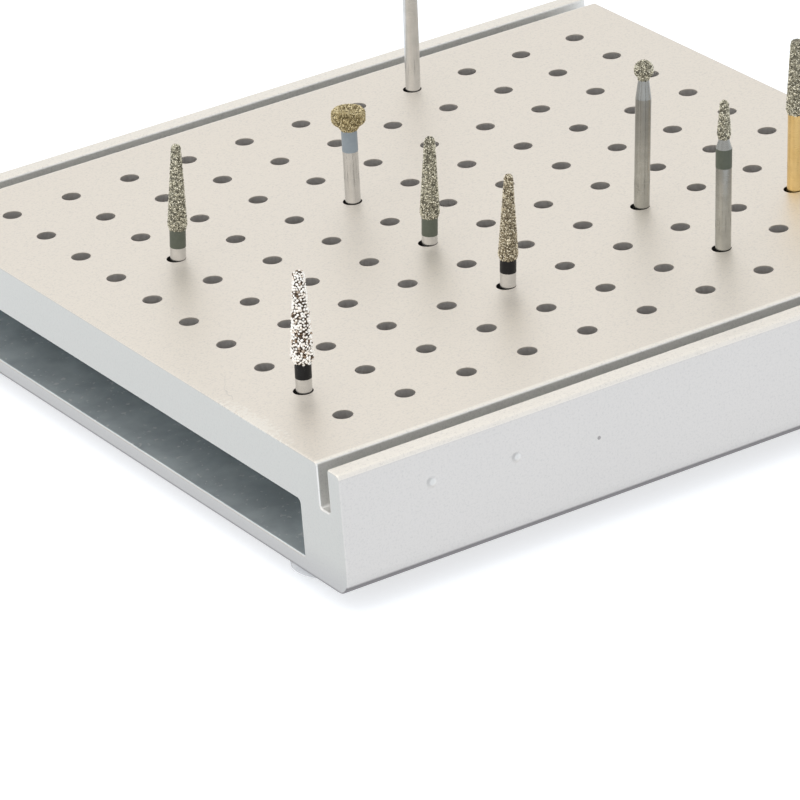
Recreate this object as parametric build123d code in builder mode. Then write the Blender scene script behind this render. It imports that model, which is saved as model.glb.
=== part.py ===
"""Dental bur block: a drilled aluminium extrusion on clear feet, with nine burs standing in it.

The origin is on the surface that the feet stand on, under the middle of the block. X runs along the
extrusion, Y across it and Z up. All sizes are in millimetres.
"""

import os
from dataclasses import dataclass
from math import atan, cos, radians, sin, sqrt

from build123d import *

os.makedirs("parts", exist_ok=True)

# Grid of holes
pitch = 7.0
columns = 11
rows = 10
end_margin = 7.5  # outer column of holes to the cut end
side_margin = 11.0  # outer row of holes to the long side

# Section of the extrusion
plate_thickness = 5.2
hollow_height = 5.9
floor_thickness = 1.7
hollow_margin = 3.5  # outer row of holes to the side of the hollow
hollow_corner_radius = 0.4
bottom_corner_radius = 2.0
lip_corner_radius = 0.6
cut_edge_chamfer = 0.15

# Groove for a sliding cover, one along each side
groove_margin = 7.1  # outer row of holes to the groove
groove_width = 1.8
groove_depth = 4.7
groove_mouth_radius = 0.3
groove_floor_radius = 0.4

# Clear stick-on feet
foot_diameter = 8.0
foot_height = 2.0
foot_skirt = 0.8  # straight side above the dome
foot_flat_diameter = 2.4
foot_end_inset = 4.2  # cut end to the middle of a foot
foot_side_inset = 9.6  # long side to the middle of a foot

# What all burs share
shank_diameter = 1.6
hole_clearance = 0.4  # hole diameter over shank diameter
shank_end_chamfer = 0.2
ring_depth = 0.1  # how deep a colour ring is set into the shank
ring_proud = 0.02
head_shoulder = 0.5
wheel_rim_radius = 0.45
lean_direction = -31.3  # degrees from X, seen from above
standard_reach = 12.0  # tip above the top of the block, give or take a little
long_reach = 16.0
wheel_reach = 10.1
usual_head_length = 9.0
usual_head_diameter = 1.9

# Worked out from the sizes above
hole_diameter = shank_diameter + hole_clearance
block_length = (columns - 1) * pitch + 2 * end_margin
block_width = (rows - 1) * pitch + 2 * side_margin
block_height = plate_thickness + hollow_height + floor_thickness
hollow_width = (rows - 1) * pitch + 2 * hollow_margin
groove_middle = (rows - 1) * pitch / 2 + groove_margin + groove_width / 2
hollow_floor = foot_height + floor_thickness
block_top = foot_height + block_height
plate_middle = block_top - plate_thickness / 2
seat_depth = plate_thickness + hollow_height
shank_radius = shank_diameter / 2
ring_seat_radius = shank_radius - ring_depth
greatest_lean = atan(hole_clearance / plate_thickness)


@dataclass
class Bur:
    """A bur in its hole: a steel shank, a coated or cut head, and on some a ring under the neck."""

    name: str
    column: int
    row: int
    exposed: float  # tip above the top of the block
    head_length: float
    head_diameter: float
    tip_diameter: float = 1.0
    ring_length: float = 0.0
    neck_length: float = 0.0
    neck_diameter: float = shank_diameter
    wheel_thickness: float = 0.0
    lean: float = 0.9  # share of the greatest lean that the hole allows

    def __post_init__(self):
        self.tip = seat_depth + self.exposed
        self.shank_length = self.tip - self.head_length
        self.ring_top = self.shank_length - self.neck_length
        self.ring_bottom = self.ring_top - self.ring_length
        self.neck_radius = self.neck_diameter / 2
        self.head_radius = self.head_diameter / 2
        self.tip_radius = self.tip_diameter / 2

    def axis_plane(self):
        """Plane at the foot of the bur, its Z along the bur."""
        tilt = self.lean * greatest_lean
        heading = radians(lean_direction)
        up = Vector(sin(tilt) * cos(heading), sin(tilt) * sin(heading), cos(tilt))
        x = (self.column - (columns - 1) / 2) * pitch
        y = (self.row - (rows - 1) / 2) * pitch
        low_edge_drop = shank_radius * sin(tilt)
        along = (plate_middle - hollow_floor - low_edge_drop) / up.Z
        return Plane(origin=Vector(x, y, plate_middle) - up * along, z_dir=up)

    def draw_shank(self):
        points = [(0, 0), (shank_radius - shank_end_chamfer, 0), (shank_radius, shank_end_chamfer)]
        top_radius = shank_radius
        if self.ring_length:
            points += [(shank_radius, self.ring_bottom), (ring_seat_radius, self.ring_bottom)]
            top_radius = ring_seat_radius
        if self.neck_length:
            if self.ring_length:
                points += [(ring_seat_radius, self.ring_top)]
            points += [(shank_radius, self.ring_top)]
            top_radius = self.neck_radius
        points += [(top_radius, self.shank_length), (0, self.shank_length)]
        Polyline(*points, close=True)

    def draw_ring(self):
        outer = shank_radius + ring_proud
        Polyline(
            (ring_seat_radius, self.ring_bottom),
            (outer, self.ring_bottom),
            (outer, self.ring_top),
            (ring_seat_radius, self.ring_top),
            close=True,
        )

    def draw_tapered_head(self):
        """Taper with a short shoulder over the neck and a round tip."""
        tip_start = self.tip - self.tip_radius
        Polyline(
            (0, self.tip),
            (0, self.shank_length),
            (self.neck_radius, self.shank_length),
            (self.head_radius, self.shank_length + head_shoulder),
            (self.tip_radius, tip_start),
        )
        RadiusArc((self.tip_radius, tip_start), (0, self.tip), -self.tip_radius)

    def draw_ball_head(self):
        """Ball that sits on its neck."""
        middle = self.tip - self.head_radius
        meets = middle - sqrt(self.head_radius**2 - self.neck_radius**2)
        Polyline((0, self.tip), (0, self.shank_length), (self.neck_radius, self.shank_length),
                 (self.neck_radius, meets))
        ThreePointArc((self.neck_radius, meets), (self.head_radius, middle), (0, self.tip))

    def draw_wheel_head(self):
        """Thick wheel with a rounded rim over a short cone."""
        under = self.tip - self.wheel_thickness
        face_radius = self.head_radius - wheel_rim_radius
        lower_rim = under + wheel_rim_radius
        upper_rim = self.tip - wheel_rim_radius
        Polyline((0, self.tip), (0, self.shank_length), (self.neck_radius, self.shank_length),
                 (face_radius, under))
        RadiusArc((face_radius, under), (self.head_radius, lower_rim), -wheel_rim_radius)
        Line((self.head_radius, lower_rim), (self.head_radius, upper_rim))
        RadiusArc((self.head_radius, upper_rim), (face_radius, self.tip), -wheel_rim_radius)
        Line((face_radius, self.tip), (0, self.tip))


tapered_burs = [
    Bur("near_bur", 0, 1, exposed=standard_reach + 0.4, head_length=usual_head_length + 0.4,
        head_diameter=usual_head_diameter + 0.2, ring_length=1.6, lean=0.45),
    Bur("left_bur", 1, 6, exposed=standard_reach + 0.3, head_length=usual_head_length + 0.1,
        head_diameter=usual_head_diameter, tip_diameter=0.9, ring_length=1.9),
    Bur("middle_bur", 4, 4, exposed=standard_reach - 0.6, head_length=usual_head_length - 0.4,
        head_diameter=usual_head_diameter, ring_length=1.9),
    Bur("front_bur", 4, 2, exposed=standard_reach - 0.2, head_length=usual_head_length - 0.1,
        head_diameter=usual_head_diameter, tip_diameter=0.8, ring_length=1.4),
    Bur("slender_bur", 7, 1, exposed=long_reach - 0.3, head_length=4.0, head_diameter=1.3,
        tip_diameter=0.8, ring_length=2.0, neck_length=1.0, neck_diameter=1.0, lean=0.75),
    Bur("gold_bur", 9, 2, exposed=long_reach + 0.2, head_length=usual_head_length - 1,
        head_diameter=usual_head_diameter, tip_diameter=1.2, lean=0.75),
    Bur("far_bur", 7, 9, exposed=long_reach, head_length=5.0, head_diameter=1.8, lean=0.5),
]
ball_bur = Bur("ball_bur", 7, 3, exposed=long_reach - 0.3, head_length=2.0, head_diameter=1.9,
               neck_length=2.0, neck_diameter=1.1)
wheel_bur = Bur("wheel_bur", 4, 6, exposed=wheel_reach, head_length=2.2, head_diameter=3.4,
                wheel_thickness=1.5, ring_length=2.3, lean=0.3)


def save(piece, name):
    piece.part.label = name
    export_step(piece.part, f"parts/{name}.step")


def make_block():
    """Closed box section with a wide hollow and two cover grooves, cut to length and drilled."""
    with BuildSketch() as hollow:
        Rectangle(hollow_width, hollow_height, align=(Align.CENTER, Align.MIN))
        fillet(hollow.vertices().group_by(Axis.Y)[-1], hollow_corner_radius)
    with BuildSketch() as groove:
        Rectangle(groove_width, groove_depth, align=(Align.CENTER, Align.MAX))
        fillet(groove.vertices().group_by(Axis.Y)[0], groove_floor_radius)
    with BuildPart() as block:
        with BuildSketch(Plane.YZ.offset(-block_length / 2)) as section:
            with Locations((0, foot_height)):
                Rectangle(block_width, block_height, align=(Align.CENTER, Align.MIN))
            fillet(section.vertices().group_by(Axis.Y)[0], bottom_corner_radius)
            fillet(section.vertices().group_by(Axis.Y)[-1], lip_corner_radius)
            with Locations((0, hollow_floor)):
                add(hollow.sketch, mode=Mode.SUBTRACT)
            with Locations((-groove_middle, block_top), (groove_middle, block_top)):
                add(groove.sketch, mode=Mode.SUBTRACT)
            top_corners = section.vertices().group_by(Axis.Y)[-1].sort_by(Axis.X)
            fillet(top_corners[1:-1], groove_mouth_radius)
        extrude(amount=block_length)
        end_edges = block.faces().filter_by(Axis.X).edges()
        chamfer([edge for edge in end_edges if edge.length > hollow_width / 2], cut_edge_chamfer)
        with BuildSketch(Plane.XY.offset(block_top)):
            with GridLocations(pitch, pitch, columns, rows):
                Circle(hole_diameter / 2)
        extrude(amount=-plate_thickness, mode=Mode.SUBTRACT)
    save(block, "block_body")


def make_feet():
    """Each foot is a dome, stuck on under the block, with a small flat that it stands on."""
    dome_height = foot_height - foot_skirt
    rim = foot_diameter / 2
    flat = foot_flat_diameter / 2
    dome_centre = (rim**2 + dome_height**2 - flat**2) / (2 * dome_height)
    dome_radius = sqrt(flat**2 + dome_centre**2)
    x = block_length / 2 - foot_end_inset
    y = block_width / 2 - foot_side_inset
    places = {
        "foot_near_right": (-x, -y, 0),
        "foot_near_left": (-x, y, 0),
        "foot_far_right": (x, -y, 0),
        "foot_far_left": (x, y, 0),
    }
    for name, place in places.items():
        with BuildPart() as foot:
            with BuildSketch(Plane(origin=place, x_dir=(1, 0, 0), z_dir=(0, -1, 0))):
                with BuildLine():
                    Polyline((flat, 0), (0, 0), (0, foot_height), (rim, foot_height), (rim, dome_height))
                    RadiusArc((rim, dome_height), (flat, 0), dome_radius)
                make_face()
            revolve(axis=Axis(place, (0, 0, 1)))
        save(foot, name)


def turn(plane, name, draw_outline):
    """Revolve an outline, drawn as radius and height, about the plane's own Z."""
    with BuildPart() as piece:
        with BuildSketch(Plane(origin=plane.origin, x_dir=plane.x_dir, z_dir=plane.y_dir * -1)):
            with BuildLine():
                draw_outline()
            make_face()
        revolve(axis=Axis(plane.origin, plane.z_dir))
    save(piece, name)


def make_bur(bur, draw_head):
    plane = bur.axis_plane()
    turn(plane, f"{bur.name}_shank", bur.draw_shank)
    turn(plane, f"{bur.name}_head", draw_head)
    if bur.ring_length:
        turn(plane, f"{bur.name}_ring", bur.draw_ring)


make_block()
make_feet()
for tapered_bur in tapered_burs:
    make_bur(tapered_bur, tapered_bur.draw_tapered_head)
make_bur(ball_bur, ball_bur.draw_ball_head)
make_bur(wheel_bur, wheel_bur.draw_wheel_head)
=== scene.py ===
"""Looks for a dental bur block: satin aluminium, clear feet and nine burs in a pale studio."""

from functools import reduce
from math import cos, pi, radians, sin

import bpy
from mathutils import Matrix, Vector


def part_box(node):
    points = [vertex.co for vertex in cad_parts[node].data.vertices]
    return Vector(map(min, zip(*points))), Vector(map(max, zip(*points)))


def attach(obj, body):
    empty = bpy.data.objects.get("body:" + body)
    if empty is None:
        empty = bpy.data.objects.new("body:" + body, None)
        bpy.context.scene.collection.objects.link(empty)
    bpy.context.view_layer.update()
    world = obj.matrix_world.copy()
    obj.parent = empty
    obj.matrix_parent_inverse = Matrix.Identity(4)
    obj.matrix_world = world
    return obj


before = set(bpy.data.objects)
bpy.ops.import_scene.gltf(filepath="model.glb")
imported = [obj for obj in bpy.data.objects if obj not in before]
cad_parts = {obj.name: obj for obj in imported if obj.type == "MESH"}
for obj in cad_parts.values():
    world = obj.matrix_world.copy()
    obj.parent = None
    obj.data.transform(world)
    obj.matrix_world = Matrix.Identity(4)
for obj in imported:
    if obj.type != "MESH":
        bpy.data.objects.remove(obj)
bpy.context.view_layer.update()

bl_info = {
    "name": "Dental bur block",
    "version": (1, 0, 0),
    "blender": (4, 5, 0),
    "location": "View3D > Sidebar > Bur block",
    "description": "Finishes a drilled aluminium bur block, its burs and its studio",
    "category": "Object",
}

MM = 0.001
BLOCK = "block_body"
BODY = "root"
WHITE = (1.0, 1.0, 1.0)
BLACK = (0.0, 0.0, 0.0)

block_low, block_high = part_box(BLOCK)
BLOCK_TOP = block_high[2]
BLOCK_END = block_low[0]
BLOCK_SIDE = block_low[1]

# Section of the block: sides from its middle, heights from the surface that it stands on
HOLLOW_SIDE = 35 * MM
HOLLOW_FLOOR = 3.7 * MM
HOLLOW_ROOF = 9.6 * MM
GROOVE_INNER_SIDE = 38.6 * MM
GROOVE_OUTER_SIDE = 40.4 * MM
GROOVE_FLOOR = 10.1 * MM

# Grid of holes, its columns counted along X and its rows along Y from the near corner
HOLE_PITCH = 7 * MM
LAST_COLUMN = 10
LAST_ROW = 9


def hole_at(column, row, depth=0.0):
    """Middle of a hole, at a depth under the top of the block."""
    return Vector(((column - LAST_COLUMN / 2) * HOLE_PITCH, (row - LAST_ROW / 2) * HOLE_PITCH,
                   BLOCK_TOP - depth))


# Burs by the finish of their shank, head and ring
STEEL_SHANKS = ("near_bur", "left_bur", "middle_bur", "front_bur", "slender_bur", "ball_bur",
                "wheel_bur", "far_bur")
GOLD_SHANKS = ("gold_bur",)
DULL_SHANKS = ("slender_bur", "ball_bur")
RINGS = {
    "near_bur": "ring_black",
    "front_bur": "ring_black",
    "left_bur": "ring_dark_green",
    "middle_bur": "ring_dark_green",
    "slender_bur": "ring_dark_green",
    "wheel_bur": "ring_blue",
}
HEADS = {
    "near_bur": "diamond_silver",
    "left_bur": "diamond_grey",
    "middle_bur": "diamond_grey",
    "front_bur": "diamond_brown",
    "slender_bur": "diamond_grey",
    "gold_bur": "diamond_grey",
    "far_bur": "diamond_grey",
    "ball_bur": "diamond_grey",
    "wheel_bur": "wheel_bronze",
}
TALLEST_HEAD = max(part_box(f"{bur}_head")[1][2] for bur in HEADS)

# Enamels by slot: material, colour and colour where worn
ENAMELS = {
    "ring_black": ("black_enamel", (0.006, 0.006, 0.007), (0.02, 0.02, 0.02)),
    "ring_dark_green": ("dark_green_enamel", (0.09, 0.105, 0.08), (0.16, 0.17, 0.14)),
    "ring_blue": ("slate_blue_enamel", (0.27, 0.32, 0.37), (0.38, 0.43, 0.47)),
}

# Nickel between the diamonds by slot: material, dark and light
NICKEL_BEDS = {
    "diamond_silver": ("silver_nickel", (0.01, 0.007, 0.005), (0.13, 0.09, 0.06)),
    "diamond_grey": ("grey_nickel", (0.05, 0.047, 0.036), (0.34, 0.32, 0.25)),
    "diamond_brown": ("brown_nickel", (0.06, 0.045, 0.025), (0.4, 0.35, 0.25)),
    "wheel_bronze": ("bronze_nickel", (0.1, 0.075, 0.03), (0.36, 0.29, 0.15)),
}

# Diamonds by slot: material, then each tone's place on the ramp and colour
CRYSTALS = {
    "diamond_silver": ("silver_diamond", (
        (0.0, (0.06, 0.04, 0.03)),
        (0.06, (0.3, 0.2, 0.12)),
        (0.12, (0.95, 0.88, 0.8)),
        (0.4, (1.0, 0.98, 0.94)))),
    "diamond_grey": ("grey_diamond", (
        (0.0, (0.06, 0.055, 0.04)),
        (0.5, (0.46, 0.44, 0.34)),
        (0.9, (0.85, 0.82, 0.68)))),
    "diamond_brown": ("brown_diamond", (
        (0.0, (0.06, 0.04, 0.02)),
        (0.5, (0.46, 0.4, 0.28)),
        (0.9, (0.88, 0.82, 0.66)))),
    "wheel_bronze": ("bronze_diamond", (
        (0.0, (0.12, 0.09, 0.04)),
        (0.5, (0.46, 0.38, 0.2)),
        (0.9, (0.75, 0.66, 0.42)))),
}

# Grit: points tried in a square as wide as the spacing, and how far grains are stretched
TRIALS_PER_SQUARE = 5.0
LEAST_STRETCH = (0.55, 0.55, 0.6)
MOST_STRETCH = (1.2, 1.2, 1.3)
FULL_TURN = (2 * pi, 2 * pi, 2 * pi)
TURN_SEED, STRETCH_SEED, TONE_SEED = 11, 12, 13

# Soft lamps: where each hangs and how wide it is, in metres, its radiance and its colour
LAMPS = {
    "overhead_box": ((-0.1, -0.02, 0.2), 0.2, 0.9, (1.0, 0.94, 0.86)),
    "front_box": ((-0.1, -0.3, 0.1), 0.3, 0.12, (0.94, 0.97, 1.0)),
    "left_box": ((-0.5, 0.1, 0.15), 0.4, 0.2, (0.94, 0.97, 1.0)),
}

# Floor: from its middle to each side, in metres
FLOOR_REACH = 1.5

# Camera: the sensor in millimetres, the picture's side and the corner hole's place in pixels, and
# how near and far it sees, in metres
SENSOR = 36.0
PICTURE_PIXELS = 800
CORNER_HOLE_PIXEL = (342.80, 414.47)
NEAREST_SEEN, FARTHEST_SEEN = 0.01, 10.0


class Value:
    """One output of a node, so that a tree's maths can be written as Python expressions."""

    def __init__(self, nodes, socket):
        self.nodes = nodes
        self.socket = socket

    def _math(self, operation, first, second=0.0):
        return self.nodes.node("ShaderNodeMath", {"operation": operation}, {0: first, 1: second})

    def __add__(self, other):
        return self._math("ADD", self, other)

    def __radd__(self, other):
        return self._math("ADD", self, other)

    def __sub__(self, other):
        return self._math("SUBTRACT", self, other)

    def __rsub__(self, other):
        return self._math("SUBTRACT", other, self)

    def __mul__(self, other):
        return self._math("MULTIPLY", self, other)

    def __truediv__(self, other):
        return self._math("DIVIDE", self, other)

    def __gt__(self, other):
        return self._math("GREATER_THAN", self, other)

    def __lt__(self, other):
        return self._math("LESS_THAN", self, other)

    def __abs__(self):
        return self._math("ABSOLUTE", self)

    def at_least(self, other):
        return self._math("MAXIMUM", self, other)

    def at_most(self, other):
        return self._math("MINIMUM", self, other)

    def as_share(self):
        """Held between 0 and 1."""
        return self.at_least(0.0).at_most(1.0)


class Nodes:
    """An emptied node tree and the ways to fill it."""

    def __init__(self, tree):
        self.tree = tree
        self.tree.nodes.clear()

    def node(self, kind, settings=None, sockets=None, output=0):
        """Add a node: its settings first, then the values or links of its sockets."""
        made = self.tree.nodes.new(kind)
        for name, setting in (settings or {}).items():
            if name == "stops":
                self._set_stops(made.color_ramp, setting)
            else:
                setattr(made, name, setting)
        for key, value in (sockets or {}).items():
            self.plug(made.inputs[key], value)
        return Value(self, made.outputs[output])

    def plug(self, socket, value):
        if isinstance(value, Value):
            self.tree.links.new(value.socket, socket)
        elif socket.type == "RGBA" and len(value) == 3:
            socket.default_value = (*value, 1.0)
        else:
            socket.default_value = value

    def _set_stops(self, ramp, stops):
        while len(ramp.elements) < len(stops):
            ramp.elements.new(0.5)
        for element, (position, colour) in zip(ramp.elements, stops):
            element.position = position
            element.color = (*colour, 1.0)

    def end(self, kind, surface):
        """Add the output node."""
        made = self.tree.nodes.new(kind)
        self.plug(made.inputs["Surface"], surface)

    def seen(self):
        """1 on rays that show something to the camera, mirrored or through clear parts too."""
        outputs = self.node("ShaderNodeLightPath").socket.node.outputs
        straight = Value(self, outputs["Is Camera Ray"])
        mirrored = Value(self, outputs["Is Glossy Ray"])
        through = Value(self, outputs["Is Transmission Ray"])
        return straight.at_least(mirrored).at_least(through)


class Shader(Nodes):
    """A new material and its nodes."""

    def __init__(self, name):
        self.material = bpy.data.materials.new(name)
        self.material.use_nodes = True
        super().__init__(self.material.node_tree)

    def place(self):
        """Place on the object, in metres."""
        return self.node("ShaderNodeTexCoord", output="Object")

    def axes(self, vector):
        outputs = self.node("ShaderNodeSeparateXYZ", sockets={0: vector}).socket.node.outputs
        return tuple(Value(self, outputs[axis]) for axis in range(3))

    def scaled(self, vector, factors):
        return self.node("ShaderNodeVectorMath", {"operation": "MULTIPLY"}, {0: vector, 1: factors})

    def noise(self, vector, size=1.0, detail=2.0, roughness=0.5):
        """Noise whose features are about as wide as the size."""
        return self.node("ShaderNodeTexNoise", sockets={
            "Vector": vector, "Scale": 1 / size, "Detail": detail, "Roughness": roughness})

    def near_point(self, vector, point, radius):
        """1 at a point, falling to 0 at the radius."""
        distance = self.node("ShaderNodeVectorMath", {"operation": "DISTANCE"},
                             {0: vector, 1: point}, output="Value")
        return (1 - distance / radius).at_least(0.0)

    def blend(self, factor, first, second):
        return self.node("ShaderNodeMix", {"data_type": "RGBA"},
                         {0: factor, 6: first, 7: second}, output=2)

    def ramp(self, factor, stops):
        return self.node("ShaderNodeValToRGB", {"stops": stops}, {0: factor})

    def bump(self, height, distance, **others):
        return self.node("ShaderNodeBump",
                         sockets={"Height": height, "Distance": distance, **others})

    def finish(self, **sockets):
        """End in a Principled BSDF whose sockets are named with underscores for spaces."""
        named = {name.replace("_", " "): value for name, value in sockets.items()}
        self.end("ShaderNodeOutputMaterial", self.node("ShaderNodeBsdfPrincipled", sockets=named))
        return self.material


# How deep or wide the block's zones are taken, measured from its section
END_SKIN = 0.02 * MM
HOLLOW_SKIN = 0.05 * MM
TOP_SKIN = 0.12 * MM
# Bands of the painted highlights on the lip and on the plate's edge beside each groove
BRIGHT_LIP_DEPTH = 0.45 * MM
BRIGHT_LIP_INSET = 0.05 * MM
BRIGHT_PLATE_DEPTH = 0.35 * MM
BRIGHT_PLATE_WIDTH = 0.4 * MM
BRIGHT_PLATE_INSET = 0.02 * MM
GROOVE_SKIN = 0.1 * MM
GROOVE_FLOOR_SKIN = 0.2 * MM
DUSTY_HEIGHT = 0.9 * MM

# Fine texture of the block: sizes of features, and the extrusion's lines per metre on each axis
CLOUD_SIZE = 18 * MM
HAZE_SIZE = 5 * MM
DUST_SIZE = 0.5 * MM
SPARKLE_SIZE = 0.24 * MM
WANDER_SIZE = 3 * MM
SCUFF_SCRATCH_SIZE = 0.45 * MM
DRAW_LINES = (30.0, 4000.0, 4000.0)

# Noise above these values is haze, dust or a scratch of the scuff
HAZE_FROM = 0.42
DUST_FROM = 0.7
SCUFF_SCRATCH_FROM = 0.58

# Tints of the block's painted edge highlights, painted groove light, painted shades, haze, specks and
# marks
EDGE_HIGHLIGHT = (0.88, 0.85, 0.79)
GROOVE_LIGHT = (0.84, 0.84, 0.82)
PALE_HAZE = (0.95, 1.0, 1.0)
DARK_SPARKLE = (0.42, 0.42, 0.42)
END_SHADE = (0.3, 0.28, 0.33)
HOLE_SHADE_TINT = (0.04, 0.04, 0.038)
DIMPLE_SHADE = (0.36, 0.37, 0.37)
DIMPLE_SHINE = (0.84, 0.85, 0.84)
SPECK_TINT = (0.35, 0.33, 0.33)
HAIR_TINT = (0.5, 0.48, 0.46)
SCUFF_TINT = (0.93, 0.92, 0.86)

# Painted shade on the low part of the cut ends, and a painted shadow line along the lowest edges
END_SHADE_TOP = 5.4 * MM
END_SHADE_FADE = 3.2 * MM
EDGE_LINE_ON_ENDS = 2.4 * MM
EDGE_LINE_ON_SIDES = 3.27 * MM
EDGE_LINE_FADE = 0.25 * MM

# Column and row of each hole that holds a bur, and the reach of the painted shade in the hole round
# its shank
HELD_HOLES = ((0, 1), (1, 6), (4, 6), (4, 4), (4, 2), (7, 1), (9, 2), (7, 9), (7, 3))
HOLE_SHADE_RADIUS = 1.9 * MM
HOLE_SHADE_MIDDLE_DEPTH = 0.8 * MM
HOLE_SHADE_TOP_DEPTH = 0.04 * MM

# Dimples on the long side: middle and radius, and how their shade and shine lie from the middle
DIMPLES = (
    (Vector((BLOCK_END + 10.0 * MM, BLOCK_SIDE, 10.95 * MM)), 0.62 * MM),
    (Vector((BLOCK_END + 19.5 * MM, BLOCK_SIDE, 10.45 * MM)), 0.55 * MM),
)
DIMPLE_FLOOR = 0.6
DIMPLE_SHADE_SHIFT = Vector((-0.18 * MM, 0, 0.08 * MM))
DIMPLE_SHADE_RADIUS = 0.5 * MM
DIMPLE_SHINE_SHIFT = Vector((0.1 * MM, 0, 0))
DIMPLE_SHINE_RADIUS = 0.42 * MM

# Other marks: a nick in the lip, a speck on the long side, a hair scratch and a scuff on the top
LIP_NICK = Vector((-1.18 * MM, BLOCK_SIDE + 0.2 * MM, BLOCK_TOP - 0.2 * MM))
LIP_NICK_RADIUS = 0.55 * MM
SIDE_SPECK = Vector((-13.65 * MM, BLOCK_SIDE, 9.45 * MM))
SIDE_SPECK_RADIUS = 0.3 * MM
HAIR_SCRATCH = Vector((-40.2 * MM, -18.8 * MM, BLOCK_TOP))
HAIR_REACH = 3.2 * MM
HAIR_SLANT = 0.35
HAIR_WANDER = 2.2 * MM
HAIR_HALF_WIDTH = 0.05 * MM
HAIR_DEPTH = 0.05 * MM
EDGE_SCUFF = Vector((-42.1 * MM, -27.2 * MM, BLOCK_TOP))
SCUFF_RADIUS = 1.35 * MM
SCUFF_SQUEEZE = Vector((1.0, 0.2, 1.0))
SCUFF_DEPTH = 0.2 * MM
MARK_DEPTH = 0.12 * MM

# Nearness, 1 at the middle of a mark and 0 at its radius, above which it shows
ALMOST_ALL = 0.02
SPECK_PART = 0.35


class SatinAluminium:
    """Fine bead-blasted, clear anodised aluminium of the block, with its dust, its few marks and
    painted light and shade.

    Each coat covers part of the colour so far. A zone is 1 where it holds and 0 elsewhere.
    """

    def __init__(self, look):
        self.look = look
        self.shader = Shader("satin_aluminium")
        self.place = self.shader.place()
        self.x, self.y, self.z = self.shader.axes(self.place)
        self.aside = abs(self.y)
        self.grain = self.noise(look.grain_size * 2, detail=3.0, roughness=0.65)
        self.cloud = self.noise(CLOUD_SIZE)
        self.on_top = self.z > BLOCK_TOP - TOP_SKIN
        self.on_end = abs(self.x) > abs(BLOCK_END) - END_SKIN
        self.in_hollow = ((self.aside < HOLLOW_SIDE + HOLLOW_SKIN)
                          * (self.z < HOLLOW_ROOF + HOLLOW_SKIN)
                          * (self.z > HOLLOW_FLOOR - HOLLOW_SKIN)
                          * (1 - self.on_end))
        self.colour = self.shader.blend(self.cloud, tuple(look.tint_low), tuple(look.tint_high))

    def noise(self, size, detail=2.0, roughness=0.5):
        return self.shader.noise(self.place, size, detail, roughness)

    def near(self, point, radius):
        return self.shader.near_point(self.place, point, radius)

    def within(self, depth):
        """The zone down to a depth under the top."""
        return self.z > BLOCK_TOP - depth

    def coat(self, cover, tint):
        """Cover the colour so far with a tint."""
        self.colour = self.shader.blend(cover, self.colour, tuple(tint))

    def tint_zones(self):
        """Paint light on the top, highlights on the edges beside the grooves and light into the
        grooves, and tint the cut ends and the hollow.
        """
        look = self.look
        # Painted light: the top is made lighter and warmer, standing in for the warm overhead lamp
        self.coat(self.on_top * (0.9 + self.cloud * 0.1), look.top_light_tint)
        # Painted highlights along the lip beyond each groove and along the plate's edge beside it
        on_lip = (self.aside > GROOVE_OUTER_SIDE + BRIGHT_LIP_INSET) * self.within(BRIGHT_LIP_DEPTH)
        on_plate_edge = ((self.aside > GROOVE_INNER_SIDE - BRIGHT_PLATE_WIDTH)
                         * (self.aside < GROOVE_INNER_SIDE + BRIGHT_PLATE_INSET)
                         * self.within(BRIGHT_PLATE_DEPTH))
        self.coat(on_lip.at_least(on_plate_edge) * 0.7, EDGE_HIGHLIGHT)
        # Painted light: the grooves are tinted paler than the rest of the block, lifting the shade
        # inside them
        in_groove = ((self.aside > GROOVE_INNER_SIDE - GROOVE_SKIN)
                     * (self.aside < GROOVE_OUTER_SIDE + GROOVE_SKIN)
                     * (self.z > GROOVE_FLOOR - GROOVE_FLOOR_SKIN)
                     * (1 - self.on_top))
        self.coat(in_groove * 0.8, GROOVE_LIGHT)
        self.coat(self.on_end * 0.9, look.cut_tint)
        self.coat(self.in_hollow * 0.85, look.inside_tint)

    def soil_and_shade(self):
        """Add haze and dust on the hollow's floor and dark specks, and paint shade low on the cut
        ends, a shadow line along the lowest edges and shade in the holes round the burs.
        """
        on_hollow_floor = self.in_hollow * (self.z < HOLLOW_FLOOR + DUSTY_HEIGHT)
        haze = (self.noise(HAZE_SIZE, detail=3.0, roughness=0.6) - HAZE_FROM).at_least(0.0)
        self.coat((haze * on_hollow_floor * 2.2).at_most(0.5), PALE_HAZE)
        dust = self.noise(DUST_SIZE, detail=1.0, roughness=0.4) > DUST_FROM
        self.coat(dust * on_hollow_floor * 0.8, WHITE)

        sparkle = self.noise(SPARKLE_SIZE, roughness=0.75)
        dark_specks = ((sparkle - 0.5) * 1.3).at_least(0.0).at_most(0.3)
        self.coat(dark_specks * (1 - self.in_hollow), DARK_SPARKLE)
        low_on_end = ((END_SHADE_TOP - self.z) / END_SHADE_FADE).as_share() * self.on_end
        self.coat(low_on_end * 0.3, END_SHADE)
        # Painted shadow: a dark line along the lowest edges, where the block meets the floor
        line_top = EDGE_LINE_ON_ENDS + (1 - self.on_end) * (EDGE_LINE_ON_SIDES - EDGE_LINE_ON_ENDS)
        on_line = ((line_top - self.z) / EDGE_LINE_FADE).as_share()
        self.coat(on_line * 0.75, self.look.edge_shadow_tint)

        # Painted shade in the holes round the shanks of the burs, darkening the hole walls
        near_bur = reduce(Value.at_least, (self.near(hole_at(*hole, HOLE_SHADE_MIDDLE_DEPTH), HOLE_SHADE_RADIUS)
                                           for hole in HELD_HOLES))
        shade_in_holes = (near_bur > ALMOST_ALL) * (self.z < BLOCK_TOP - HOLE_SHADE_TOP_DEPTH)
        self.coat(shade_in_holes * 0.9, HOLE_SHADE_TINT)

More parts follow.
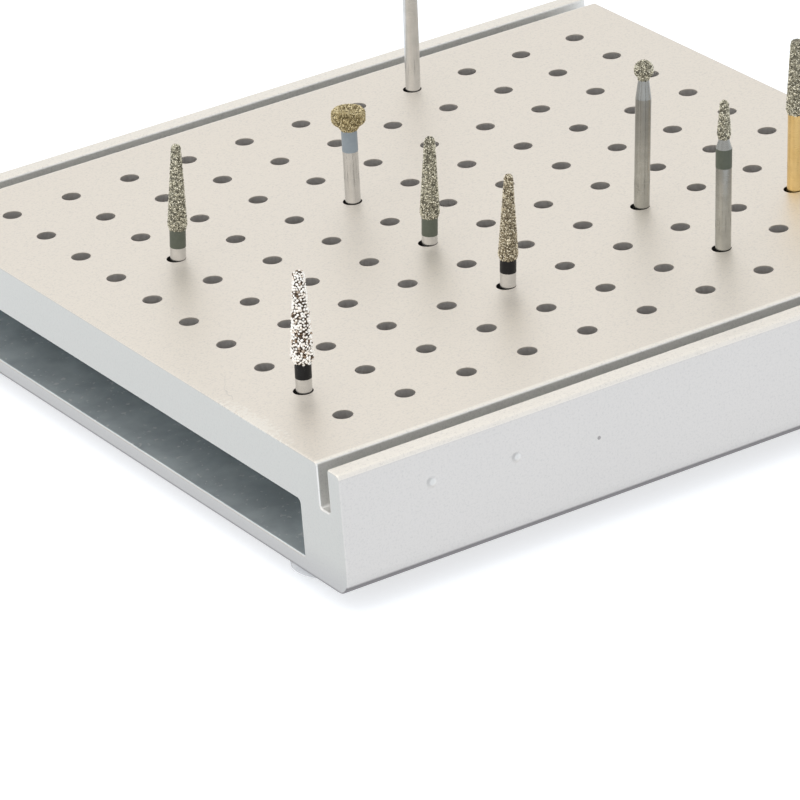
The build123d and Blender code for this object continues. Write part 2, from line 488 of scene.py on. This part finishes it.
    def dimple(self):
        """Add the dimples' shade and shine, and return how deep they are."""
        depth = reduce(Value.at_least, (self.near(middle, radius).at_most(DIMPLE_FLOOR)
                                        for middle, radius in DIMPLES))
        for middle, _ in DIMPLES:
            shade = self.near(middle + DIMPLE_SHADE_SHIFT, DIMPLE_SHADE_RADIUS)
            self.coat((shade * 0.8).at_most(0.3), DIMPLE_SHADE)
            shine = self.near(middle + DIMPLE_SHINE_SHIFT, DIMPLE_SHINE_RADIUS)
            self.coat((shine * 1.2).at_most(0.4), DIMPLE_SHINE)
        return depth

    def speck(self):
        self.coat(self.near(SIDE_SPECK, SIDE_SPECK_RADIUS) > SPECK_PART, SPECK_TINT)

    def scratch(self):
        """Add the hair scratch, a slanted line that wanders."""
        wander = (self.noise(WANDER_SIZE, roughness=0.6) - 0.5) * HAIR_WANDER
        slant = (self.y - HAIR_SCRATCH.y) * HAIR_SLANT
        off_line = abs(self.x - HAIR_SCRATCH.x - slant + wander)
        hair = ((off_line < HAIR_HALF_WIDTH)
                * (self.near(HAIR_SCRATCH, HAIR_REACH) > ALMOST_ALL)
                * self.within(HAIR_DEPTH))
        self.coat(hair * 0.3, HAIR_TINT)

    def scuff(self):
        """Add the pale scuff at the near edge, drawn out across the block."""
        squeezed = self.shader.scaled(self.place, SCUFF_SQUEEZE)
        near_scuff = self.shader.near_point(squeezed, EDGE_SCUFF * SCUFF_SQUEEZE, SCUFF_RADIUS)
        scratches = self.noise(SCUFF_SCRATCH_SIZE, detail=3.0, roughness=0.7) + near_scuff * 0.22
        scuffed = (scratches > SCUFF_SCRATCH_FROM) * (near_scuff > 0.0) * self.within(SCUFF_DEPTH)
        self.coat(scuffed * 0.32, SCUFF_TINT)

    def finish(self):
        """Lay all coats, give the surface its relief and return the material."""
        self.tint_zones()
        self.soil_and_shade()
        dimples = self.dimple()
        self.speck()
        self.scratch()
        self.scuff()
        nick = self.near(LIP_NICK, LIP_NICK_RADIUS)
        draw_lines = self.shader.noise(self.shader.scaled(self.place, DRAW_LINES), roughness=0.6)
        texture = self.grain * 0.5 + draw_lines * 0.12 + self.cloud * 0.1
        fine = self.shader.bump(texture, self.look.grain_depth)
        relief = self.shader.bump(1 - dimples * 1.6 - nick * 0.8, MARK_DEPTH, Normal=fine)
        rough = self.look.roughness + (self.grain - 0.5) * 0.12 + (self.cloud - 0.5) * 0.06
        return self.shader.finish(Base_Color=self.colour, Metallic=self.look.metalness,
                                  Roughness=rough - self.on_end * 0.06, Normal=relief)


def clear_rubber():
    """Clear soft polyurethane with a faint cloud in it."""
    shader = Shader("clear_polyurethane")
    place = shader.place()
    cloud = shader.noise(place, size=2.5 * MM)
    colour = shader.blend(cloud, (0.86, 0.88, 0.92), (0.96, 0.97, 1.0))
    skin = shader.bump(shader.noise(place, size=0.8 * MM), distance=0.02 * MM)
    return shader.finish(Base_Color=colour, Roughness=cloud * 0.08 + 0.06,
                         Alpha=0.38 + cloud * 0.08, IOR=1.49, Normal=skin)


# Shanks: tool marks per metre on each axis, and where some grow dull and how far that takes
TURNING_RINGS = (500.0, 500.0, 22000.0)
DULL_FROM = 20 * MM
DULL_FADE = 4 * MM
DULL_TINT = (0.2, 0.2, 0.19)


def ground_steel(name, low, high, roughness=0.24, dull_from=None):
    """Steel turned and ground round its axis, with fine rings of tool marks.

    Above dull_from it is duller, by handling and heat.
    """
    shader = Shader(name)
    place = shader.place()
    rings = shader.noise(shader.scaled(place, TURNING_RINGS), roughness=0.6)
    smear = shader.noise(place, size=1.1 * MM, detail=3.0, roughness=0.55)
    colour = shader.blend(smear, low, high)
    if dull_from is not None:
        height = shader.axes(place)[2]
        dull = ((height - dull_from) / DULL_FADE).as_share()
        colour = shader.blend(dull * 0.6, colour, DULL_TINT)
    return shader.finish(Base_Color=colour, Metallic=1.0, Roughness=roughness + (rings - 0.5) * 0.2,
                         Normal=shader.bump(rings, distance=0.004 * MM))


def enamel(name, colour, worn):
    """Glossy painted ring, thin and slightly worn at random."""
    shader = Shader(name)
    place = shader.place()
    mottle = shader.noise(place, size=0.5 * MM, detail=3.0, roughness=0.6)
    wear = shader.noise(place, size=0.16 * MM, roughness=0.7) > 0.72
    tint = shader.blend(mottle * 0.6, colour, worn)
    tint = shader.blend(wear * 0.25, tint, (0.35, 0.34, 0.32))
    skin = shader.bump(mottle, distance=0.01 * MM)
    return shader.finish(Base_Color=tint, Roughness=0.3 + mottle * 0.16, Normal=skin,
                         Specular_IOR_Level=0.22)


def nickel_bed(name, dark, light):
    """Electroplated nickel between the diamonds."""
    shader = Shader(name)
    pits = shader.noise(shader.place(), size=0.14 * MM, detail=3.0, roughness=0.65)
    colour = shader.ramp(pits, ((0.3, dark), (0.7, light)))
    return shader.finish(Base_Color=colour, Metallic=0.75, Roughness=0.36 + pits * 0.2,
                         Normal=shader.bump(pits, distance=0.05 * MM))


def crystal(name, stops):
    """Diamond grains, each with a tone of its own."""
    shader = Shader(name)
    tone = shader.node("ShaderNodeAttribute", {"attribute_name": "tone"}, output="Fac")
    film = shader.noise(shader.place(), size=0.05 * MM)
    colour = shader.ramp(tone + (film - 0.5) * 0.25, stops)
    return shader.finish(Base_Color=colour, Metallic=0.7, Roughness=0.14 + film * 0.22)


def wear_finish(node, material):
    """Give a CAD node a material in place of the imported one."""
    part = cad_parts[node]
    if not part.material_slots:
        part.data.materials.append(material)
    for slot in part.material_slots:
        slot.material = material


def grit_tree():
    """Geometry Nodes: irregular grains scattered over a surface, each with its own tone."""
    tree = bpy.data.node_groups.new("grit", "GeometryNodeTree")
    for name, kind in (("Surface", "Geometry"), ("Grain Size", "Float"), ("Spacing", "Float"),
                       ("Highest", "Float"), ("Seed", "Int"), ("Finish", "Material")):
        tree.interface.new_socket(name=name, in_out="INPUT", socket_type=f"NodeSocket{kind}")
    tree.interface.new_socket(name="Grit", in_out="OUTPUT", socket_type="NodeSocketGeometry")

    def node(kind, settings=None, links=None):
        made = tree.nodes.new(kind)
        for name, setting in (settings or {}).items():
            setattr(made, name, setting)
        for key, value in (links or {}).items():
            if isinstance(value, bpy.types.NodeSocket):
                tree.links.new(value, made.inputs[key])
            else:
                made.inputs[key].default_value = value
        return made.outputs

    def random_vector(low, high, seed):
        return node("FunctionNodeRandomValue", {"data_type": "FLOAT_VECTOR"},
                    {"Min": low, "Max": high, "Seed": seed})["Value"]

    given = node("NodeGroupInput")
    position = node("GeometryNodeInputPosition")["Position"]
    height = node("ShaderNodeSeparateXYZ", links={0: position})["Z"]
    below_top = node("FunctionNodeCompare", {"data_type": "FLOAT", "operation": "LESS_THAN"},
                     {0: height, 1: given["Highest"]})["Result"]
    spacing_squared = node("ShaderNodeMath", {"operation": "MULTIPLY"},
                           {0: given["Spacing"], 1: given["Spacing"]})[0]
    trial_density = node("ShaderNodeMath", {"operation": "DIVIDE"},
                         {0: TRIALS_PER_SQUARE, 1: spacing_squared})[0]
    points = node("GeometryNodeDistributePointsOnFaces", {"distribute_method": "POISSON"}, {
        "Mesh": given["Surface"], "Selection": below_top, "Distance Min": given["Spacing"],
        "Density Max": trial_density, "Seed": given["Seed"]})["Points"]
    grain = node("GeometryNodeMeshIcoSphere",
                 links={"Radius": given["Grain Size"], "Subdivisions": 1})
    turn = random_vector((0, 0, 0), FULL_TURN, TURN_SEED)
    stretch = random_vector(LEAST_STRETCH, MOST_STRETCH, STRETCH_SEED)
    grains = node("GeometryNodeInstanceOnPoints", links={
        "Points": points, "Instance": grain["Mesh"],
        "Rotation": turn, "Scale": stretch})["Instances"]
    tone = node("FunctionNodeRandomValue", {"data_type": "FLOAT"}, {"Seed": TONE_SEED})
    tone_value = [socket for socket in tone if socket.enabled][0]
    toned = node("GeometryNodeStoreNamedAttribute", {"data_type": "FLOAT", "domain": "INSTANCE"},
                 {"Geometry": grains, "Name": "tone", "Value": tone_value})["Geometry"]
    real = node("GeometryNodeRealizeInstances", links={"Geometry": toned})["Geometry"]
    finished = node("GeometryNodeSetMaterial", links={
        "Geometry": real, "Material": given["Finish"]})["Geometry"]
    node("NodeGroupOutput", links={"Grit": finished})
    return tree


def set_inputs(modifier, **values):
    """Set a Geometry Nodes modifier's inputs by the names of its sockets."""
    identifiers = {item.name: item.identifier for item in modifier.node_group.interface.items_tree
                   if item.item_type == "SOCKET" and item.in_out == "INPUT"}
    for name, value in values.items():
        modifier[identifiers[name.replace("_", " ")]] = value


def scatter_grit(bur, tree, material, size, spacing, seed):
    """Cover one head with grains, none above the tallest bur, as a plain mesh of its own."""
    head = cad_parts[f"{bur}_head"]
    highest = TALLEST_HEAD - size * max(MOST_STRETCH)
    carrier = bpy.data.objects.new(f"{bur}_grit", head.data.copy())
    bpy.context.collection.objects.link(carrier)
    modifier = carrier.modifiers.new("grit", "NODES")
    modifier.node_group = tree
    set_inputs(modifier, Grain_Size=size, Spacing=spacing, Highest=highest, Seed=seed,
               Finish=material)
    bpy.context.view_layer.update()
    evaluated = carrier.evaluated_get(bpy.context.evaluated_depsgraph_get())
    grains = bpy.data.meshes.new_from_object(evaluated)
    carrier.modifiers.remove(modifier)
    carrier.data = grains
    grains.name = f"{bur}_grit"
    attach(carrier, BODY)


class BurBlockFinish(bpy.types.PropertyGroup):
    """Finish of the aluminium block."""

    tint_low: bpy.props.FloatVectorProperty(
        name="Low tint", description="Aluminium where the faint clouding is darkest",
        subtype="COLOR", size=3, default=(0.64, 0.622, 0.605))
    tint_high: bpy.props.FloatVectorProperty(
        name="High tint", description="Aluminium where the faint clouding is lightest",
        subtype="COLOR", size=3, default=(0.68, 0.66, 0.642))
    cut_tint: bpy.props.FloatVectorProperty(
        name="Cut end tint", description="Aluminium on the sawn ends",
        subtype="COLOR", size=3, default=(0.56, 0.56, 0.535))
    inside_tint: bpy.props.FloatVectorProperty(
        name="Hollow tint", description="Aluminium inside the hollow",
        subtype="COLOR", size=3, default=(0.66, 0.72, 0.745))
    # Painted light: the top is made lighter and warmer than the sides, standing in for the warm
    # overhead lamp
    top_light_tint: bpy.props.FloatVectorProperty(
        name="Top tint", description="Aluminium on the top, a little warmer from use",
        subtype="COLOR", size=3, default=(0.785, 0.735, 0.66))
    # Painted shadow: the tint of a dark line along the lowest edges of the sides and ends
    edge_shadow_tint: bpy.props.FloatVectorProperty(
        name="Lower edge tint", description="Grime along the lowest edge of the sides",
        subtype="COLOR", size=3, default=(0.1, 0.09, 0.1))
    roughness: bpy.props.FloatProperty(
        name="Roughness", description="How matt the blasted surface is",
        subtype="FACTOR", min=0.0, max=1.0, default=0.46)
    metalness: bpy.props.FloatProperty(
        name="Metalness", description="Share of metal in the anodised surface",
        subtype="FACTOR", min=0.0, max=1.0, default=0.85)
    grain_size: bpy.props.FloatProperty(
        name="Grain size", description="Width of the blasted grain",
        unit="LENGTH", default=0.09 * MM)
    grain_depth: bpy.props.FloatProperty(
        name="Grain depth", description="Depth of the blasted grain",
        unit="LENGTH", default=0.012 * MM)


class BurFinish(bpy.types.PropertyGroup):
    """Finish of the burs."""

    coarse_grain: bpy.props.FloatProperty(
        name="Coarse grain", description="Radius of a coarse diamond",
        unit="LENGTH", default=0.18 * MM)
    medium_grain: bpy.props.FloatProperty(
        name="Medium grain", description="Radius of a medium diamond",
        unit="LENGTH", default=0.09 * MM)
    grain_gap: bpy.props.FloatProperty(
        name="Grain gap", description="Spacing of the grains as a multiple of their radius",
        default=1.28)
    seed: bpy.props.IntProperty(name="Seed", description="Seed of the scatter", default=7)


class BurBlockStudio(bpy.types.PropertyGroup):
    """Light, floor and camera."""

    sky_strength: bpy.props.FloatProperty(
        name="Sky", description="Strength of the white surroundings", default=0.8)
    floor_colour: bpy.props.FloatVectorProperty(
        name="Floor", description="Colour of the floor", subtype="COLOR", size=3,
        default=(0.58, 0.63, 0.69))
    floor_lift: bpy.props.FloatProperty(
        name="Floor lift", description="White added to the floor where the camera sees it",
        default=0.65)
    heading: bpy.props.FloatProperty(
        name="Heading", description="Direction that the camera looks in, from X", subtype="ANGLE",
        default=radians(58.894))
    elevation: bpy.props.FloatProperty(
        name="Elevation", description="How far the camera looks down", subtype="ANGLE",
        default=radians(25.197))
    roll: bpy.props.FloatProperty(
        name="Roll", description="Turn of the camera about its own axis", subtype="ANGLE",
        default=radians(-4.603))
    distance: bpy.props.FloatProperty(
        name="Distance", description="Camera to the corner hole", unit="LENGTH", default=551.2 * MM)
    lens: bpy.props.FloatProperty(
        name="Lens", description="Focal length on a 36 mm sensor, in millimetres", default=263.93)


class FinishBlock(bpy.types.Operator):
    """Give the block its satin aluminium."""

    bl_idname = "bur_block.finish_block"
    bl_label = "Finish block"

    def execute(self, context):
        wear_finish(BLOCK, SatinAluminium(context.scene.bur_block_finish).finish())
        return {"FINISHED"}


class FinishFeet(bpy.types.Operator):
    """Give the feet their clear rubber."""

    bl_idname = "bur_block.finish_feet"
    bl_label = "Finish feet"

    def execute(self, context):
        rubber = clear_rubber()
        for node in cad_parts:
            if node.startswith("foot_"):
                wear_finish(node, rubber)
        return {"FINISHED"}


class FinishShanks(bpy.types.Operator):
    """Give the shanks their ground steel and the colour rings their enamel."""

    bl_idname = "bur_block.finish_shanks"
    bl_label = "Finish shanks and rings"

    def execute(self, context):
        steel = ground_steel("ground_steel", (0.5, 0.5, 0.49), (0.68, 0.67, 0.66))
        gold = ground_steel("gold_steel", (0.72, 0.50, 0.20), (0.86, 0.64, 0.31), roughness=0.3)
        dull_steel = ground_steel("dull_steel", (0.3, 0.3, 0.28), (0.5, 0.5, 0.47),
                                  dull_from=DULL_FROM)
        for bur in STEEL_SHANKS:
            wear_finish(f"{bur}_shank", dull_steel if bur in DULL_SHANKS else steel)
        for bur in GOLD_SHANKS:
            wear_finish(f"{bur}_shank", gold)
        enamels = {slot: enamel(*paint) for slot, paint in ENAMELS.items()}
        for bur, slot in RINGS.items():
            wear_finish(f"{bur}_ring", enamels[slot])
        return {"FINISHED"}


class FinishHeads(bpy.types.Operator):
    """Give the heads their nickel and scatter the diamonds over them."""

    bl_idname = "bur_block.finish_heads"
    bl_label = "Finish heads"

    def execute(self, context):
        look = context.scene.bur_finish
        beds = {slot: nickel_bed(*bed) for slot, bed in NICKEL_BEDS.items()}
        crystals = {slot: crystal(*grain) for slot, grain in CRYSTALS.items()}
        tree = grit_tree()
        for step, (bur, slot) in enumerate(HEADS.items()):
            wear_finish(f"{bur}_head", beds[slot])
            size = look.coarse_grain if slot == "diamond_silver" else look.medium_grain
            scatter_grit(bur, tree, crystals[slot], size, size * look.grain_gap, look.seed + step)
        return {"FINISHED"}


class BuildStage(bpy.types.Operator):
    """Set the floor, the soft lights and the camera."""

    bl_idname = "bur_block.build_stage"
    bl_label = "Build stage"

    def execute(self, context):
        look = context.scene.bur_block_studio
        self.build_floor(look)
        self.build_sky(look)
        for name, (place, side, radiance, colour) in LAMPS.items():
            self.hang_lamp(name, place, side, radiance, colour)
        self.place_camera(look)
        context.scene.view_settings.view_transform = "Standard"
        return {"FINISHED"}

    def build_floor(self, look):
        """A pale floor, lifted towards white where it is seen."""
        shader = Shader("studio_floor")
        glow = shader.blend(shader.seen() * look.floor_lift, BLACK, WHITE)
        shader.finish(Base_Color=tuple(look.floor_colour), Roughness=0.9,
                      Emission_Color=glow, Emission_Strength=1.0)
        reach = FLOOR_REACH
        mesh = bpy.data.meshes.new("floor")
        mesh.from_pydata([(-reach, -reach, 0), (reach, -reach, 0), (reach, reach, 0),
                          (-reach, reach, 0)], [], [(0, 1, 2, 3)])
        mesh.materials.append(shader.material)
        floor = bpy.data.objects.new("floor", mesh)
        bpy.context.collection.objects.link(floor)

    def build_sky(self, look):
        """White surroundings, at full strength where they are seen."""
        world = bpy.data.worlds.new("white_room")
        bpy.context.scene.world = world
        world.use_nodes = True
        nodes = Nodes(world.node_tree)
        strength = nodes.node("ShaderNodeMix", {"data_type": "FLOAT"},
                              {0: nodes.seen(), 2: look.sky_strength, 3: 1.0})
        sky = nodes.node("ShaderNodeBackground", sockets={"Color": WHITE, "Strength": strength})
        nodes.end("ShaderNodeOutputWorld", sky)

    def hang_lamp(self, name, place, side, radiance, colour):
        """A square soft lamp that faces the middle of the block's top."""
        lamp = bpy.data.lights.new(name, "AREA")
        lamp.shape = "SQUARE"
        lamp.size = side
        lamp.energy = radiance * pi * side**2
        lamp.color = colour
        holder = bpy.data.objects.new(name, lamp)
        bpy.context.collection.objects.link(holder)
        aim = Vector((0, 0, BLOCK_TOP)) - Vector(place)
        turn = aim.to_track_quat("-Z", "Y").to_matrix().to_4x4()
        holder.matrix_world = Matrix.Translation(place) @ turn

    def place_camera(self, look):
        """Stand where the corner hole falls on its own pixel of the picture."""
        heading, elevation, roll = look.heading, look.elevation, look.roll
        forward = Vector((cos(heading) * cos(elevation), sin(heading) * cos(elevation),
                          -sin(elevation)))
        level = Vector((sin(heading), -cos(heading), 0))
        upright = level.cross(forward)
        right = level * cos(roll) + upright * sin(roll)
        up = upright * cos(roll) - level * sin(roll)
        per_pixel = look.distance * SENSOR / (look.lens * PICTURE_PIXELS)
        across = (CORNER_HOLE_PIXEL[0] - PICTURE_PIXELS / 2) * per_pixel
        down = (CORNER_HOLE_PIXEL[1] - PICTURE_PIXELS / 2) * per_pixel
        eye = hole_at(0, 0) - forward * look.distance - right * across + up * down
        camera = bpy.data.cameras.new("camera")
        camera.lens = look.lens
        camera.sensor_width = SENSOR
        camera.clip_start = NEAREST_SEEN
        camera.clip_end = FARTHEST_SEEN
        holder = bpy.data.objects.new("camera", camera)
        bpy.context.collection.objects.link(holder)
        turn = Matrix((right, up, -forward)).transposed().to_4x4()
        holder.matrix_world = Matrix.Translation(eye) @ turn
        bpy.context.scene.camera = holder


STEPS = (FinishBlock, FinishFeet, FinishShanks, FinishHeads, BuildStage)


class BurBlockPanel(bpy.types.Panel):
    """Steps and settings of the bur block."""

    bl_idname = "VIEW3D_PT_bur_block"
    bl_label = "Bur block"
    bl_space_type = "VIEW_3D"
    bl_region_type = "UI"
    bl_category = "Bur block"

    def draw(self, context):
        scene = context.scene
        for step in STEPS:
            self.layout.operator(step.bl_idname)
        for group in (scene.bur_block_finish, scene.bur_finish, scene.bur_block_studio):
            column = self.layout.column()
            for name in group.__annotations__:
                column.prop(group, name)


CLASSES = (BurBlockFinish, BurFinish, BurBlockStudio, *STEPS, BurBlockPanel)


def register():
    for made in CLASSES:
        bpy.utils.register_class(made)
    bpy.types.Scene.bur_block_finish = bpy.props.PointerProperty(type=BurBlockFinish)
    bpy.types.Scene.bur_finish = bpy.props.PointerProperty(type=BurFinish)
    bpy.types.Scene.bur_block_studio = bpy.props.PointerProperty(type=BurBlockStudio)


def unregister():
    del bpy.types.Scene.bur_block_studio
    del bpy.types.Scene.bur_finish
    del bpy.types.Scene.bur_block_finish
    for made in reversed(CLASSES):
        bpy.utils.unregister_class(made)


def main():
    register()
    bpy.ops.bur_block.finish_block()
    bpy.ops.bur_block.finish_feet()
    bpy.ops.bur_block.finish_shanks()
    bpy.ops.bur_block.finish_heads()
    bpy.ops.bur_block.build_stage()


if __name__ == "__main__":
    main()
